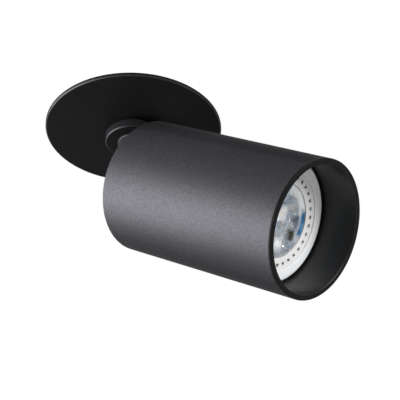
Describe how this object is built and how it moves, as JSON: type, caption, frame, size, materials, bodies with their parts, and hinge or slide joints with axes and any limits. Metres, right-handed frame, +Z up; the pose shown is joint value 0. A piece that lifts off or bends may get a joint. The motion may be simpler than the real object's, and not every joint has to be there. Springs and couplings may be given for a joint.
{
  "type": "ceiling spotlight",
  "caption": "Ceiling spotlight: round black clip-in plate, swivel collar, tilting knuckle, and a graphite tube that holds a recessed twist-in reflector lamp behind a black glare ring.",
  "frame": {"origin": "Centre of the ceiling plate's back face, in the ceiling plane and on the swivel axis.", "axes": "+Z is up into the ceiling along the swivel axis. The head leans towards +X at rest, and the tilt axis lies along Y. +Y completes the right-handed set."},
  "size_m": [0.1363, 0.076, 0.1195],
  "materials": {
    "plate_paint": "matte black paint on steel sheet",
    "graphite_coat": "fine-textured graphite powder coat on aluminium",
    "black_coat": "matte black coat on aluminium",
    "dark_casting": "dark coated zinc casting",
    "plated_steel": "zinc plate",
    "spring_steel": "bare spring steel",
    "black_steel": "black oxide",
    "black_nylon": "moulded, matte",
    "black_rubber": "moulded, matte",
    "white_nylon": "moulded, matte",
    "brass_bare": "turned and stamped",
    "nickelled_brass": "nickel plate",
    "steatite": "unglazed",
    "lamp_white": "satin white",
    "lens_clear": "clear, faceted",
    "board_metal": "white solder mask on aluminium",
    "phosphor": "silicone with phosphor",
    "circuit_board": "glass-fibre laminate"
  },
  "bodies": {
    "base": {"ceiling_plate": "plate_paint", "recess_cup": "plated_steel", "weld_studs": "plated_steel", "stud_nuts": "plated_steel", "swivel_bush": "black_nylon", "stop_peg": "plated_steel", "clip_brackets": "plated_steel", "bracket_rivets": "plated_steel", "clip_pins": "plated_steel", "terminal_block": "white_nylon", "terminal_clamps": "brass_bare", "terminal_screws": "plated_steel", "earth_screw": "plated_steel", "clip_spring_left": "spring_steel", "clip_spring_right": "spring_steel"},
    "clip_left": {"clip_arm_left": "spring_steel"},
    "clip_right": {"clip_arm_right": "spring_steel"},
    "swivel": {"swivel_collar": "graphite_coat", "spindle": "plated_steel", "thrust_washer": "plated_steel", "spring_washer": "spring_steel", "lock_nut": "plated_steel", "knuckle_fork": "dark_casting", "hinge_screw": "black_steel", "hinge_nut": "black_steel", "friction_washers": "black_nylon"},
    "head": {"knuckle_tongue": "dark_casting", "tongue_nut": "plated_steel", "back_cap": "graphite_coat", "cap_grub_screws": "black_steel", "cap_grommet": "black_rubber", "body_tube": "graphite_coat", "glare_baffle": "black_coat", "holder_bracket": "plated_steel", "bracket_screws": "plated_steel", "lampholder": "steatite", "holder_contacts": "brass_bare", "holder_screws": "plated_steel"},
    "lamp": {"lamp_housing": "lamp_white", "lamp_bezel": "lamp_white", "lamp_lens": "lens_clear", "led_board": "board_metal", "led_emitters": "phosphor", "driver_board": "circuit_board", "lamp_base": "lamp_white", "lamp_pins": "nickelled_brass"}
  },
  "joints": [
    {"name": "head_swivel", "type": "hinge", "parent": "base", "child": "swivel", "pos_m": [0, 0, 0], "axis": [0, 0, 1], "range_deg": [-168, 168]},
    {"name": "head_tilt", "type": "hinge", "parent": "swivel", "child": "head", "pos_m": [0, 0, -0.028], "axis": [0, -1, 0], "range_deg": [-58.4, 21.6]},
    {"name": "lamp_twist", "type": "hinge", "parent": "head", "child": "lamp", "pos_m": [0, 0, -0.028], "axis": [0.8517, 0, -0.524], "range_deg": [0, 45]},
    {"name": "clip_right_fold", "type": "hinge", "parent": "base", "child": "clip_right", "pos_m": [0.01516, 0.00875, 0.01296], "axis": [0.5, -0.866, 0], "range_deg": [0, 110], "stiffness_Nm_per_rad": 0.05, "springref_deg": -20.05, "deforming": ["clip_spring_right"]},
    {"name": "clip_left_fold", "type": "hinge", "parent": "base", "child": "clip_left", "pos_m": [-0.01516, -0.00875, 0.01296], "axis": [-0.5, 0.866, 0], "range_deg": [0, 110], "stiffness_Nm_per_rad": 0.05, "springref_deg": -20.05, "deforming": ["clip_spring_left"]}
  ]
}
